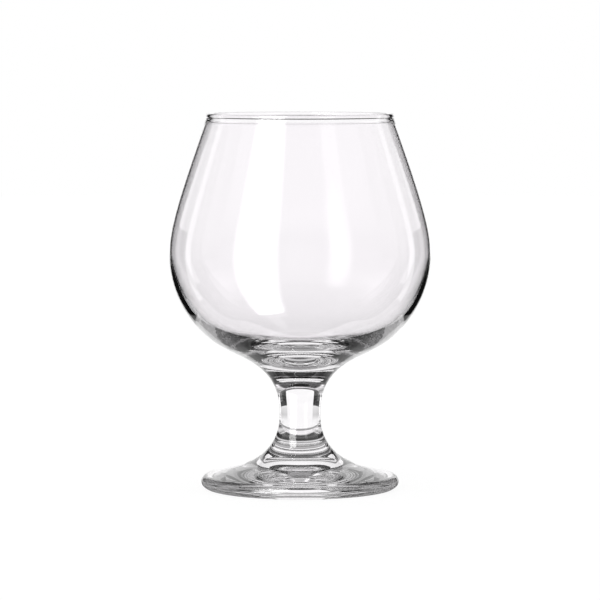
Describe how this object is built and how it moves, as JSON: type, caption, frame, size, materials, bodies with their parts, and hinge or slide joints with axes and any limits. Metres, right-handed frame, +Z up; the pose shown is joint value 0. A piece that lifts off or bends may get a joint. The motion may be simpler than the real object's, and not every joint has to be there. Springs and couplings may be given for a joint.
{
  "type": "brandy snifter",
  "caption": "Clear stemmed brandy snifter: wide pear-shaped bowl closing in to a rolled rim, short waisted stem and round conical foot.",
  "frame": {"origin": "centre of the ring that the foot rests on", "axes": "+Z up through the middle of the foot, stem and bowl; X and Y lie in the table, and the glass is round, so neither has a front"},
  "size_m": [0.0998, 0.0998, 0.1431],
  "materials": {
    "clear_glass": "clear polished soda-lime glass"
  },
  "bodies": {
    "root": {"bowl": "clear_glass", "stem": "clear_glass", "foot": "clear_glass"}
  },
  "joints": []
}
